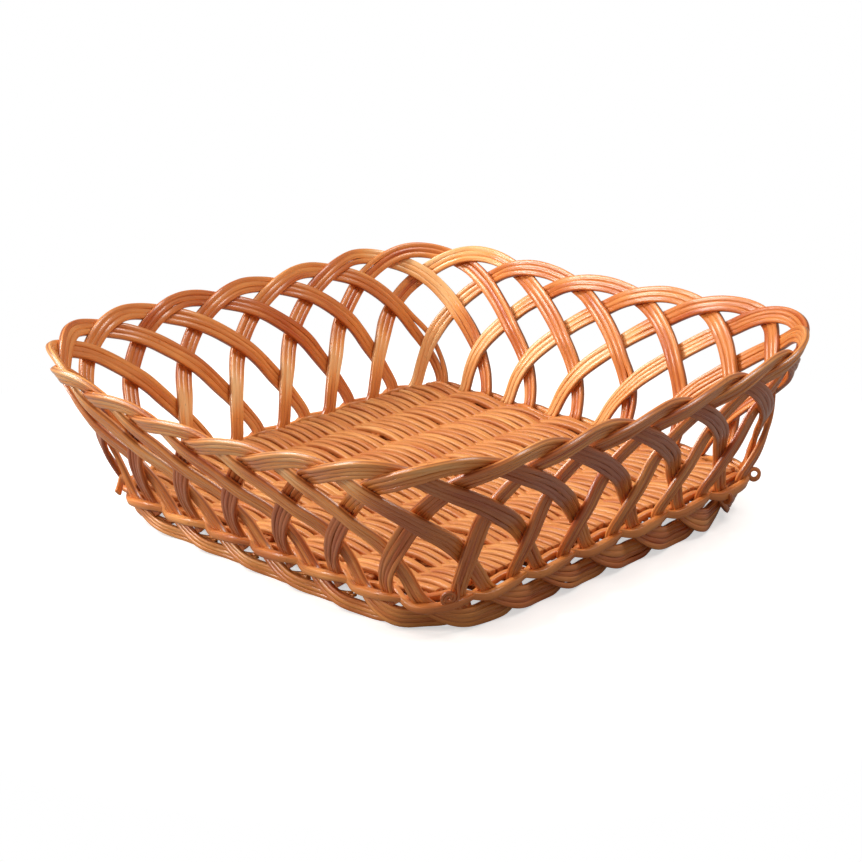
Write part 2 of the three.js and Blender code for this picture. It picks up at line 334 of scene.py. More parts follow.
def skin_point(place, level):
    """The middle surface of the wickerwork at places and levels."""
    place, level = np.broadcast_arrays(np.asarray(place, float), np.asarray(level, float))
    base_turn = BASE_START - place / LOOP_COUNT
    edge = point_on("base", base_turn)
    rim_turn = RIM_START - (place + unevenness(SPACING_DRIFT, place / LOOP_COUNT)) / LOOP_COUNT
    climb = np.maximum(level - BASE_LEVEL, 0.0) / WALL_RISE
    lean = climb * (1.0 - WALL_HOLLOW * (1.0 - climb))
    drop = np.clip(1.0 - level / BASE_LEVEL, 0.0, 1.0)
    flat = lerp(edge, point_on("rim", rim_turn), lean[..., None])
    flat = lerp(flat, point_on("foot", base_turn), drop[..., None])
    rise = WALL_RISE + unevenness(RIM_WARP, rim_turn)
    height = np.where(level < BASE_LEVEL, level, BASE_LEVEL + rise * climb)
    return np.concatenate([flat, height[..., None]], -1)


def skin_normal(place, level):
    """The directions out of the wickerwork."""
    along = skin_point(place + NORMAL_PLACE_STEP, level) - skin_point(place - NORMAL_PLACE_STEP, level)
    up = skin_point(place, level + NORMAL_LEVEL_STEP) - skin_point(place, level - NORMAL_LEVEL_STEP)
    return unit(np.cross(up, along))


def skin_travel(place, level):
    """The directions along the wickerwork, clockwise seen from above."""
    return unit(skin_point(place + TRAVEL_STEP, level) - skin_point(place - TRAVEL_STEP, level))


def wicker_path(place, level, offset):
    """Points at an offset outwards from the middle surface, and the surface's normals there."""
    normals = skin_normal(place, level)
    return skin_point(place, level) + normals * np.asarray(offset)[..., None], normals


def settle(points):
    """The slight lean of the whole basket to its left corner, with its standing surface kept level."""
    points = np.array(points, float)
    towards_right = (points[:, 0] + points[:, 1]) / math.sqrt(2.0)
    lift = LEAN_SLOPE * towards_right * np.minimum(1.0, points[:, 2] / BASE_LEVEL)
    sway = LEAN_SLOPE * (WALL_RISE - np.maximum(0.0, points[:, 2] - BASE_LEVEL)) / math.sqrt(2.0)
    return points + np.stack([sway, sway, lift], -1)


def frames(centres, normals):
    """Unit vectors across and out of the wickerwork at each point of a path."""
    travel = unit(np.gradient(centres, axis=0))
    across = unit(np.cross(normals, travel))
    return across, np.cross(travel, across)


# Rods

# The section: an oval that a power below 1 makes squarer, how dark the painted shade on its flanks is, less on
# the inside, and the outer face that takes painted shade
SECTION_POWER = 0.4
FLANK_POWER = 8
FLANK_START = -0.1
INNER_GROOVE = 0.4
OUTER_FACE = (-0.3, 0.5)

# How far the grain moves along and across from one seed to the next, so that no two rods look alike, and
# how many seeds there are for each loop's rods
GRAIN_JUMP = 400.0
GRAIN_SIDESTEP = 3.0
SEEDS_PER_LOOP = 5

# The rounded edge of a cut end: shares of the section, and how far in mm they are past the end
CAP_RINGS = ((0.92, 0.12), (0.7, 0.2))
CAP_GROOVE = 0.35


def add_attribute(mesh, label, values):
    """Gives each of a mesh's points a value or a vector."""
    values = np.array(values, np.float32)
    kind, key = ("FLOAT", "value") if values.ndim == 1 else ("FLOAT_VECTOR", "vector")
    mesh.attributes.new(label, kind, "POINT").data.foreach_set(key, values.ravel())


class Piece:
    """Gathers the rods of one piece and makes its mesh."""

    def __init__(self):
        self.points, self.faces = [], []
        self.grain, self.tint, self.groove, self.shade = [], [], [], []

    def rod(self, centres, across, out, width, thickness, at, seed, tint, groove, shade=0.0,
            closed=False, sides=ROD_SIDES):
        """A rod with a slightly squared oval section along a path.

        tint makes it lighter, and carries painted light and some painted shade too; groove darkens its flanks
        with painted shade; and shade browns its outer face with painted shade.
        """
        count = len(centres)
        width, thickness, tint, shade = (np.broadcast_to(np.asarray(value, float), (count,))
                                         for value in (width, thickness, tint, shade))
        angle = 2.0 * math.pi * np.arange(sides) / sides
        cosine, sine = np.cos(angle), np.sin(angle)
        wide = np.sign(cosine) * np.abs(cosine) ** SECTION_POWER
        high = np.sign(sine) * np.abs(sine) ** SECTION_POWER
        ring = (across[:, None, :] * (0.5 * width)[:, None, None] * wide[None, :, None]
                + out[:, None, :] * (0.5 * thickness)[:, None, None] * high[None, :, None])
        first = len(self.points)
        self.points.extend((centres[:, None, :] + ring).reshape(-1, 3))
        radius = ROD_DIAMETER / 2.0
        # Painted shade on the flanks, where rods meet, less on the inner side
        flank = groove * np.abs(cosine) ** FLANK_POWER * np.where(sine > FLANK_START, 1.0, INNER_GROOVE)
        # The outer face, which painted shade browns
        outer = smoothstep(sine, *OUTER_FACE)
        for k in range(count):
            along = at[k] + GRAIN_JUMP * seed
            self.grain.extend((along, radius * c + GRAIN_SIDESTEP * seed, radius * s)
                              for c, s in zip(cosine, sine))
            self.tint.extend([float(tint[k])] * sides)
            self.shade.extend(float(shade[k]) * outer)
            self.groove.extend(flank)
        rings = count if closed else count - 1
        for k in range(rings):
            here, there = first + k * sides, first + ((k + 1) % count) * sides
            for side in range(sides):
                after = (side + 1) % sides
                self.faces.append((here + side, here + after, there + after, there + side))
        if not closed:
            for k, way in ((0, -1), (count - 1, 1)):
                half_across, half_out = across[k] * 0.5 * width[k], out[k] * 0.5 * thickness[k]
                along = at[k] + GRAIN_JUMP * seed
                self._cap(first + k * sides, centres[k], half_across, half_out, wide, high, way, along, tint[k])

    def _cap(self, edge, centre, half_across, half_out, wide, high, way, along, tint):
        """A cut end with a small rounded edge."""
        travel = unit(np.cross(half_across, half_out)) * way
        sides = len(wide)
        previous = edge
        for share, ahead in CAP_RINGS:
            first = len(self.points)
            ring = centre + travel * ahead + share * (half_across * wide[:, None] + half_out * high[:, None])
            self.points.extend(ring)
            self.grain.extend((along, w, h) for w, h in zip(wide, high))
            self.tint.extend([float(tint)] * sides)
            self.shade.extend([0.0] * sides)
            self.groove.extend([CAP_GROOVE] * sides)
            for side in range(sides):
                after = (side + 1) % sides
                quad = (previous + side, previous + after, first + after, first + side)
                self.faces.append(quad if way > 0 else quad[::-1])
            previous = first
        cap = tuple(range(previous, previous + sides))
        self.faces.append(cap if way > 0 else cap[::-1])

    def finish(self, name, material, nodes):
        """Makes the piece's object and puts it in place of its CAD nodes."""
        mesh = bpy.data.meshes.new(name)
        mesh.from_pydata((settle(self.points) * MM).tolist(), [], self.faces)
        mesh.polygons.foreach_set("use_smooth", [len(face) == 4 for face in self.faces])
        add_attribute(mesh, "grain", self.grain)
        add_attribute(mesh, "tint", self.tint)
        add_attribute(mesh, "shade", self.shade)
        add_attribute(mesh, "groove", self.groove)
        mesh.update()
        piece = bpy.data.objects.new(name, mesh)
        bpy.context.scene.collection.objects.link(piece)
        piece.data.materials.append(material)
        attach(piece, "root")
        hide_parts(*nodes)


# Materials


def srgb(red, green, blue):
    """A colour as it is seen, from 0 to 255, as linear values."""
    def one(value):
        value /= 255.0
        return value / 12.92 if value <= 0.04045 else ((value + 0.055) / 1.055) ** 2.4
    return one(red), one(green), one(blue)


class Recipe:
    """Short helpers that build the nodes of a material or of the world."""

    def __init__(self, owner):
        self.owner = owner
        owner.use_nodes = True
        self.nodes, self.links = owner.node_tree.nodes, owner.node_tree.links
        self.nodes.clear()

    def node(self, kind, **settings):
        made = self.nodes.new(kind)
        for key, value in settings.items():
            setattr(made, key, value)
        return made

    def feed(self, socket, value):
        """Sets a socket to a number or a colour, or links another node's output to it."""
        if isinstance(value, (int, float)):
            socket.default_value = value
        elif isinstance(value, tuple):
            socket.default_value = (*value, 1.0)
        else:
            self.links.new(value, socket)

    def attribute(self, name, output="Fac"):
        return self.node("ShaderNodeAttribute", attribute_name=name).outputs[output]

    def noise(self, vector, scale, detail, roughness):
        mapping = self.node("ShaderNodeMapping")
        mapping.inputs["Scale"].default_value = scale
        self.feed(mapping.inputs["Vector"], vector)
        made = self.node("ShaderNodeTexNoise")
        self.feed(made.inputs["Scale"], 1.0)
        self.feed(made.inputs["Detail"], detail)
        self.feed(made.inputs["Roughness"], roughness)
        self.feed(made.inputs["Vector"], mapping.outputs["Vector"])
        return made.outputs["Fac"]

    def ramp(self, value, before, after=(0.0, 1.0)):
        """Turns one range of values into another."""
        made = self.node("ShaderNodeMapRange")
        for label, number in zip(("From Min", "From Max", "To Min", "To Max"), before + after):
            self.feed(made.inputs[label], number)
        self.feed(made.inputs["Value"], value)
        return made.outputs["Result"]

    def blend(self, factor, a, b):
        """Colour a where the factor is 0 and colour b where it is 1."""
        made = self.node("ShaderNodeMix", data_type="RGBA")
        self.feed(made.inputs["Factor"], factor)
        sockets = {socket.identifier: socket for socket in made.inputs}
        self.feed(sockets["A_Color"], a)
        self.feed(sockets["B_Color"], b)
        return [socket for socket in made.outputs if socket.identifier == "Result_Color"][0]

    def maths(self, operation, a, b):
        made = self.node("ShaderNodeMath", operation=operation)
        self.feed(made.inputs[0], a)
        self.feed(made.inputs[1], b)
        return made.outputs["Value"]

    def shader(self, kind, colour, strength=None):
        made = self.node(kind)
        self.feed(made.inputs["Color"], colour)
        if strength is not None:
            self.feed(made.inputs["Strength"], strength)
        return made.outputs[0]

    def mix(self, factor, a, b):
        """Shader a where the factor is 0 and shader b where it is 1."""
        made = self.node("ShaderNodeMixShader")
        for socket, value in zip(made.inputs, (factor, a, b)):
            self.feed(socket, value)
        return made.outputs[0]

    def output(self, kind, surface):
        self.feed(self.node(kind).inputs["Surface"], surface)


# Painted shade: the browner colour that stands in for the shade on outer faces, which face down and away from
# the lamps
OUTER_PAINTED_SHADE_BROWN = srgb(164, 80, 42)
# The pale of paler cane, which painted highlights and painted light reach too
PALE_CANE_AND_HIGHLIGHT = srgb(255, 210, 150)

# Noise patterns: scale along, across and through a rod, detail and roughness
FIBRES = ((0.03, 2.4, 2.4), 4.0, 0.6)
STAIN = ((0.035, 0.35, 0.35), 2.0, 0.5)
FINE_GRAIN = ((0.06, 6.5, 6.5), 3.0, 0.7)
KNOTS = ((0.5, 1.1, 1.1), 2.0, 0.5)

# The ranges of the patterns, of the lightness that they add up to, of the pale cane and painted highlights, and
# of the browns of painted shade and of knots, that show
STAIN_RANGE = (0.3, 0.7)
FIBRE_RANGE = (0.32, 0.68)
LIGHTNESS_RANGE = (-0.9, 0.9)
PALE_RANGE = (0.8, 2.1)
OUTER_RANGE = (0.0, 1.0)
GROOVE_RANGE = (0.25, 1.0)
KNOT_RANGE = (0.66, 0.76)
GLOSS_RANGE = (0.3, 0.7)

# How strongly each of them shows
STAIN_CONTRAST = 0.45
FIBRE_CONTRAST = 0.32
OUTER_PAINTED_SHADE_STRENGTH = 0.7
GROOVE_SHADE_STRENGTH = 0.9
KNOT_STRENGTH = 0.35
FIBRE_HEIGHT = 0.6
FINE_GRAIN_HEIGHT = 0.4
BUMP_STRENGTH = 0.6
BUMP_DEPTH = 0.00025
SMOOTHER_FIBRES = 0.06
ROUGHER_FIBRES = 0.1
COAT_ROUGHNESS = 0.15


def wicker_material(name, light, deep, shade_and_knot_brown, roughness, coat):
    """Varnished cane: long fibres, uneven stain and knots, with painted shade on outer faces and in the grooves
    between rods.
    """
    recipe = Recipe(bpy.data.materials.new(name))
    grain = recipe.attribute("grain", "Vector")
    fibres = recipe.noise(grain, *FIBRES)
    stain = recipe.noise(grain, *STAIN)
    fine_grain = recipe.noise(grain, *FINE_GRAIN)
    knots = recipe.noise(grain, *KNOTS)

    stained = recipe.ramp(stain, STAIN_RANGE, (-STAIN_CONTRAST, STAIN_CONTRAST))
    fibrous = recipe.ramp(fibres, FIBRE_RANGE, (-FIBRE_CONTRAST, FIBRE_CONTRAST))
    lightness = recipe.maths("ADD", stained, recipe.attribute("tint"))
    lightness = recipe.maths("ADD", lightness, fibrous)
    # Painted shade, browning outer faces as far as the shade attribute says
    outer = recipe.ramp(recipe.attribute("shade"), OUTER_RANGE, (0.0, OUTER_PAINTED_SHADE_STRENGTH))
    # Painted shade in the grooves between rods
    groove_shade = recipe.ramp(recipe.attribute("groove"), GROOVE_RANGE, (0.0, GROOVE_SHADE_STRENGTH))
    knotted = recipe.ramp(knots, KNOT_RANGE, (0.0, KNOT_STRENGTH))
    colour = recipe.blend(recipe.ramp(lightness, LIGHTNESS_RANGE), deep, light)
    colour = recipe.blend(recipe.ramp(lightness, PALE_RANGE), colour, PALE_CANE_AND_HIGHLIGHT)
    colour = recipe.blend(outer, colour, OUTER_PAINTED_SHADE_BROWN)
    colour = recipe.blend(groove_shade, colour, shade_and_knot_brown)
    colour = recipe.blend(knotted, colour, shade_and_knot_brown)

    height = recipe.maths("ADD", recipe.maths("MULTIPLY", fibres, FIBRE_HEIGHT),
                          recipe.maths("MULTIPLY", fine_grain, FINE_GRAIN_HEIGHT))
    bump = recipe.node("ShaderNodeBump")
    recipe.feed(bump.inputs["Strength"], BUMP_STRENGTH)
    recipe.feed(bump.inputs["Distance"], BUMP_DEPTH)
    recipe.feed(bump.inputs["Height"], height)

    shader = recipe.node("ShaderNodeBsdfPrincipled")
    recipe.feed(shader.inputs["Base Color"], colour)
    roughness_range = (roughness - SMOOTHER_FIBRES, roughness + ROUGHER_FIBRES)
    recipe.feed(shader.inputs["Roughness"], recipe.ramp(fibres, GLOSS_RANGE, roughness_range))
    recipe.feed(shader.inputs["Normal"], bump.outputs["Normal"])
    recipe.feed(shader.inputs["Coat Weight"], coat)
    recipe.feed(shader.inputs["Coat Roughness"], COAT_ROUGHNESS)
    recipe.output("ShaderNodeOutputMaterial", shader.outputs["BSDF"])
    return recipe.owner


LOOP_WICKER = wicker_material(
    "loop_wicker", light=srgb(243, 163, 86), deep=srgb(186, 82, 28), shade_and_knot_brown=srgb(112, 28, 4),
    roughness=0.29, coat=0.42)
TWINE_WICKER = wicker_material(
    "twine_wicker", light=srgb(240, 158, 82), deep=srgb(186, 84, 30), shade_and_knot_brown=srgb(112, 28, 4),
    roughness=0.3, coat=0.4)
MAT_WICKER = wicker_material(
    "mat_wicker", light=srgb(228, 158, 88), deep=srgb(188, 102, 42), shade_and_knot_brown=srgb(134, 44, 10),
    roughness=0.46, coat=0.15)
STAKE_WICKER = wicker_material(
    "stake_wicker", light=srgb(214, 136, 70), deep=srgb(168, 84, 34), shade_and_knot_brown=srgb(104, 34, 8),
    roughness=0.4, coat=0.2)


# Loops

RISING, FALLING = -1, 1

# An end of a stretch that is past every rod's own end
NO_END = (9.0, 10.0)

# Where rods are lighter: paler cane at the back, a painted highlight low on the back-left wall's rising legs,
# and painted highlights on the front walls' crowns, on the left one where its loops come out, and painted light
# at its foot. Each row: the loops, the side of the crown, the distances from the crown over which the stretch
# begins and ends, below 0 on the other side, and how light it is.
PALE_CANE_AND_PAINTED_LIGHT_STRETCHES = (
    (range(6, 7), FALLING, (-0.1, 0.5), (1.4, 1.8), 1.5),
    (range(8, 9), RISING, (-0.6, 0.1), (0.8, 1.2), 1.3),
    (range(9, 14), RISING, (0.9, 1.5), NO_END, 1.4),
    # A painted highlight where the back-left wall's rising legs bend near the foot
    (range(4, 9), RISING, (1.65, 1.95), (1.95, 2.25), 1.5),
    # Painted highlights on the front walls' crowns and on the left one's legs, and painted light at its foot
    (range(14, 19), RISING, (-0.75, -0.025), (-0.025, 0.7), 0.45),
    (range(19, 28), RISING, (-0.75, -0.025), (-0.025, 0.7), 0.95),
    (range(21, 28), RISING, (0.45, 0.8), (0.8, 1.15), 1.25),
    (range(21, 28), RISING, (1.05, 1.65), (1.65, 2.25), 0.45),
    (range(23, 28), RISING, (2.4, 2.9), NO_END, 0.35),
    (range(1, 4), RISING, (2.4, 2.9), NO_END, 0.35),
)

# Loops that are lighter all the way
LIGHTER_LOOPS = {8: 0.2}

# Where painted shade browns the outer faces of the front walls, which are in shade: the places over which a
# wall begins and ends, the side of the crown, and the distances from the crown over which the painted shade
# begins and ends
PAINTED_SHADE_STRETCHES = (
    ((13.4, 14.4), (20.6, 21.2), RISING, (0.3, 0.7), (1.5, 2.1)),
    ((21.2, 21.8), (27.4, 28.2), FALLING, (0.6, 1.05), NO_END),
)
# The painted shade that every outer face takes
LEAST_PAINTED_SHADE = 0.12

# Where a bundle has come apart a little: loop, rod, from and to in pitches from its crown, and how wide
# in mm
SPLITS = (
    (5, 0, 1.65, 2.25, 1.5),
    (9, 0, 1.7, 2.3, 1.5),
    (22, 0, 0.7, 1.5, 0.7),
    (19, 3, 0.6, 1.4, 0.7),
)


def weave_offset(from_crown):
    """Behind, in front and behind the neighbours on the rising side, and the other way round on the
    falling side."""
    distance = np.abs(from_crown)

    def change(at, half):
        return smoothstep(distance, at - half, at + half)

    crown = change(*CROWN_CHANGE) * 2.0 - 1.0
    front = crown - 2.0 * change(*UPPER_CHANGE) + 2.0 * change(*LOWER_CHANGE)
    front *= 1.0 - smoothstep(distance, FOOT_CHANGE_START, LOOP_REACH)
    return np.sign(from_crown) * front * (ROD_DIAMETER + WEAVE_GAP) / 2.0


def arch_level(distance):
    """The flattened half ellipse of the arch, with its top a little rounded."""
    def grown(value):
        return (value ** 2 + CROWN_ROUNDING ** 2) ** (ARCH_SPREAD / 2.0)
    share = (grown(distance) - grown(0.0)) / (grown(LOOP_REACH) - grown(0.0))
    return BASE_LEVEL + WALL_RISE * np.clip(1.0 - share, 0.0, 1.0) ** ARCH_FULLNESS


def rods_in(loop):
    """How many rods lie side by side in a loop's bundle."""
    return 4 if loop in FOUR_ROD_LOOPS else 3


def foot_stops(loop):
    """Place, level, offset and width of the bundle along the foot, from its tip to the mat's edge."""
    width = FOOT_WIDTHS[rods_in(loop)]
    lowest = width / 2.0 - FOOT_CUT
    t = np.linspace(FOOT_END, FOOT_BEGIN, FOOT_STEPS)
    ending = smoothstep(t, *FOOT_ENDING)
    fall = (BASE_LEVEL - lowest) * np.clip(1.0 - t, 0.0, 1.0) ** FOOT_FALL
    swell = FOOT_SWELL * np.sin(np.pi * np.minimum(1.0, t / FOOT_SWELL_END))
    widened = lerp(GATHERED_WIDTH, width, smoothstep(t, 0.0, FOOT_TUCK_RANGE[0]))
    return (loop - LOOP_REACH - FOOT_SWEEP * t,
            lowest + fall + FOOT_END_LIFT * ending,
            swell - FOOT_TUCK * smoothstep(t, *FOOT_TUCK_RANGE),
            widened * lerp(1.0, FOOT_END_THINNING, ending))


def arch_stops(loop):
    """Place, level, offset and width of the bundle from the mat's edge over its crown and down again."""
    share = np.concatenate([np.linspace(-1.0, -LEG_SHARE, LEG_STEPS),
                            np.linspace(-CROWN_SHARE, CROWN_SHARE, CROWN_STEPS),
                            np.linspace(LEG_SHARE, 1.0, LEG_STEPS)])
    reach = np.sign(share) * LOOP_REACH * (1.0 - (1.0 - np.abs(share)) ** ARCH_CROWDING)
    distance = np.abs(reach)
    gather = smoothstep(distance, LOWER_CHANGE[0], LOOP_REACH)
    open_width = lerp(CROWN_WIDTH, LEG_WIDTH, smoothstep(distance, *LEG_WIDENING))
    return loop + reach, arch_level(distance), weave_offset(reach), lerp(open_width, GATHERED_WIDTH, gather)


def falling_end_stops(loop):
    """Place, level, offset and width of the bundle where it ends behind the twine."""
    t = np.linspace(FALLING_END_START, 1.0, FALLING_END_STEPS)
    return (loop + LOOP_REACH - FALLING_END_RUN * t ** 2,
            BASE_LEVEL - FALLING_END_DROP * t,
            np.zeros_like(t),
            np.full_like(t, GATHERED_WIDTH))


def loop_path(loop):
    """The bundle's middle line from the tip of its foot, over the arch, to its falling end."""
    sections = zip(foot_stops(loop), arch_stops(loop), falling_end_stops(loop))
    place, level, offset, span = (np.concatenate(values) for values in sections)
    centres, normals = wicker_path(place, level, offset)
    at, (centres, normals, span, from_crown) = resample(centres, RING_STEP, normals, span, place - loop)
    return at, soften(centres, PATH_SOFTENING), soften(normals, NORMAL_SOFTENING), span, from_crown


def pale_cane_and_painted_light(loop, from_crown):
    """How much lighter than the rest a loop is along its way, from paler cane and from painted light."""
    share = np.full_like(from_crown, LIGHTER_LOOPS.get(loop, 0.0))
    for loops, side, begins, ends, amount in PALE_CANE_AND_PAINTED_LIGHT_STRETCHES:
        if loop in loops:
            share += amount * stretch(side * from_crown, begins, ends)
    return share


def painted_outer_shade(loop, from_crown):
    """How much painted shade browns a loop's outer face along its way, from 0 to 1."""
    most = np.zeros_like(from_crown)
    for wall_begins, wall_ends, side, begins, ends in PAINTED_SHADE_STRETCHES:
        on_wall = stretch(loop + from_crown, wall_begins, wall_ends)
        most = np.maximum(most, on_wall * stretch(side * from_crown, begins, ends))
    return LEAST_PAINTED_SHADE + (1.0 - LEAST_PAINTED_SHADE) * most


def build_loop(loop):
    """One loop of three or four rods side by side."""
    rng = random.Random(LOOP_SEED + loop)
    at, centres, normals, span, from_crown = loop_path(loop)
    across, out = frames(centres, normals)
    rods = rods_in(loop)
    pitch = span / rods
    piece = Piece()
    # Random tint, with paler cane and painted light
    loop_tint = rng.uniform(*LOOP_TINTS) + pale_cane_and_painted_light(loop, from_crown)
    # Painted shade on the outer faces
    outer = painted_outer_shade(loop, from_crown)
    for rod in range(rods):
        sideways = (rod - (rods - 1) / 2.0) * pitch + wander(rng, at, *SIDEWAYS_WOBBLE)
        outward = wander(rng, at, *OUTWARD_WOBBLE)
        for split_loop, split_rod, low, high, wide in SPLITS:
            if (split_loop, split_rod) == (loop, rod):
                away = -1.0 if rod < rods / 2 else 1.0
                sideways = sideways + away * wide * bump_between(from_crown, low, high)
        width = pitch * rng.uniform(*ROD_OVERLAP)
        thinning = FOUR_ROD_THINNING if rods == 4 else 1.0
        thickness = ROD_DIAMETER * rng.uniform(*ROD_THICKNESS) * thinning
        middle = centres + across * sideways[:, None] + out * outward[:, None]
        tint = loop_tint + rng.uniform(*LOOP_ROD_TINTS) + wander(rng, at, *LOOP_TINT_WOBBLE)
        start = int(rng.uniform(0, LATEST_START))
        piece.rod(middle[start:], across[start:], out[start:], width[start:], thickness, at[start:],
                  seed=loop * SEEDS_PER_LOOP + rod, tint=tint[start:], groove=LOOP_GROOVE, shade=outer[start:])
    piece.finish(f"rods_of_loop_{loop:02d}", LOOP_WICKER, [f"wall_loop_{loop:02d}"])


# Twine

# Rod ends curled up beside the twine: place, level, how far out in mm, turns, first and last radius,
# thickness, and whether the curl stands out from the wall
CURLS = (
    (20.36, 17.8, 3.2, 2.1, 0.6, 3.5, 1.15, False),
    (13.9, 15.4, 3.1, 1.05, 2.0, 2.3, 1.6, True),
    (14.66, 11.6, 3.4, 1.05, 1.4, 1.8, 1.6, True),
)
CURL_TAIL = 9.0
CURL_SINK = 4.0
CURL_SEED = 40

# A cut end that sticks out at the left corner: its way as place, level and offset, its width at either
# end, its thickness and its length along the grain
STRAY_END = ((27.08, 20.0, 0.4), (26.94, 18.4, 2.6), (26.84, 17.2, 5.2))
STRAY_END_WIDTH = (2.2, 3.2)
STRAY_END_THICKNESS = 1.4
STRAY_END_LENGTH = 12.0
STRAY_END_SEED = 60

TWINE_GRAIN_SEED = 3


def add_curl(piece, place, level, outward, turns, first_radius, last_radius, thickness, standing):
    """A spiral of one rod on the wicker's outer face, with its tail running back into the weave."""
    turned = np.linspace(0.0, 1.0, CURL_STEPS)
    rising = np.linspace(0.0, 1.0, CURL_TAIL_STEPS)[1:]
    angle = math.pi + 2.0 * math.pi * turns * np.append(1.0 - turned, np.zeros_like(rising))
    radius = np.append(lerp(first_radius, last_radius, turned), np.full_like(rising, last_radius))
    rise = np.append(np.zeros_like(turned), CURL_TAIL * rising)
    sink = np.append(np.zeros_like(turned), CURL_SINK * rising ** 2)
    middle, normals = wicker_path(np.array([place]), np.array([level]), np.array([outward]))
    middle, normal = middle[0], normals[0]
    along = skin_travel(place, level)
    up = unit(np.cross(along, normal))
    up = up if up[2] > 0.0 else -up
    sideways, axis = (normal, along) if standing else (along, normal)
    centres = (middle + sideways * (radius * np.cos(angle))[:, None]
               + up * (radius * np.sin(angle) + rise)[:, None] - normal * sink[:, None])
    across, out = frames(centres, np.tile(axis, (len(centres), 1)))
    # Its outer face takes painted shade, as the loops' outer faces do
    piece.rod(centres, across, out, thickness, thickness, lengths_along(centres),
              seed=CURL_SEED + place, tint=CURL_TINT, groove=CURL_GROOVE, shade=CURL_PAINTED_SHADE)


def add_stray_end(piece):
    """A short cut end of a flattened rod that stands out from the wall."""
    t = np.linspace(0.0, 1.0, STRAY_END_STEPS)
    stops = np.array(STRAY_END)
    place, level, offset = (np.interp(t, np.linspace(0.0, 1.0, len(stops)), stops[:, k]) for k in range(3))
    centres = soften(wicker_path(place, level, offset)[0], STRAY_END_SOFTENING)
    across, out = frames(centres, skin_travel(place, level))
    piece.rod(centres, across, out, lerp(*STRAY_END_WIDTH, t), STRAY_END_THICKNESS, STRAY_END_LENGTH * t,
              seed=STRAY_END_SEED, tint=STRAY_END_TINT, groove=STRAY_END_GROOVE)


def build_twine():
    """One strand that twines round the base twice and crosses itself between each pair of loop ends."""
    turn = np.arange(2 * LOOP_COUNT * TWINE_STEPS_PER_PITCH) / TWINE_STEPS_PER_PITCH
    pitches = np.floor(turn)
    side = np.where(pitches % 2 == 1, -1.0, 1.0)
    inside = turn - pitches
    gap = np.minimum(inside, 1.0 - inside)
    swing = TWINE_SWING * side * (2.0 * smoothstep(gap, -TWINE_CROSSING, TWINE_CROSSING) - 1.0)
    levelling = smoothstep(gap, -TWINE_LEVELLING, TWINE_LEVELLING)
    level = BASE_LEVEL - TWINE_LIFT * np.cos(math.pi * inside) * levelling
    centres, normals = wicker_path(-turn, level, swing)
    centres = soften_ring(centres, TWINE_SOFTENING)
    travel = unit(np.roll(centres, -1, 0) - np.roll(centres, 1, 0))
    across = unit(np.cross(normals, travel))
    out = np.cross(travel, across)
    at = lengths_along(centres)
    rng = random.Random(TWINE_SEED)
    piece = Piece()
    swell = TWINE_LEAST + TWINE_SWELL * smoothstep(gap, *TWINE_SWELL_RANGE) * (side > 0)
    size = TWINE_SIZE * swell * (1.0 + wander(rng, at, *TWINE_SIZE_WOBBLE))
    piece.rod(centres, across, out, size, size * TWINE_THINNING, at, seed=TWINE_GRAIN_SEED,
              tint=wander(rng, at, *TWINE_TINT_WOBBLE) + TWINE_TINT, groove=TWINE_GROOVE, closed=True)
    for curl in CURLS:
        add_curl(piece, *curl)
    add_stray_end(piece)
    piece.finish("twine_strand", TWINE_WICKER, ["base_twine"])


# Mat

MAT_OUTLINE = outline(MAT_HALF_X, MAT_HALF_Y, tuple(radius - EDGE_WORK for radius in BASE[2]))[1]
MAT_GRAIN_SEED = 200
STAKE_GRAIN_SEED = 600


def mat_side(rod):
    """1 where the rod starts over the middle stake, -1 where it starts under it.

    Once in each repeat, two rods in a row go the same way.
    """
    return -1.0 if (rod + (rod + MAT_REPEAT_START) // MAT_REPEAT) % 2 == 0 else 1.0


def mat_y(rod):
    """Where a thin rod of the mat lies along Y, counted from the lowest."""
    return (rod - (MAT_RODS - 1) / 2.0) * MAT_PITCH


def mat_reach(axis, at):
    """How far the mat reaches to either side along one axis, at a place along the other."""
    along, across = MAT_OUTLINE[:, axis], MAT_OUTLINE[:, 1 - axis]
    low = high = 0.0
    for k in range(len(along) - 1):
        if (across[k] - at) * (across[k + 1] - at) <= 0.0 and across[k] != across[k + 1]:
            crossing = lerp(along[k], along[k + 1], (at - across[k]) / (across[k + 1] - across[k]))
            low, high = min(low, crossing), max(high, crossing)
    return low, high


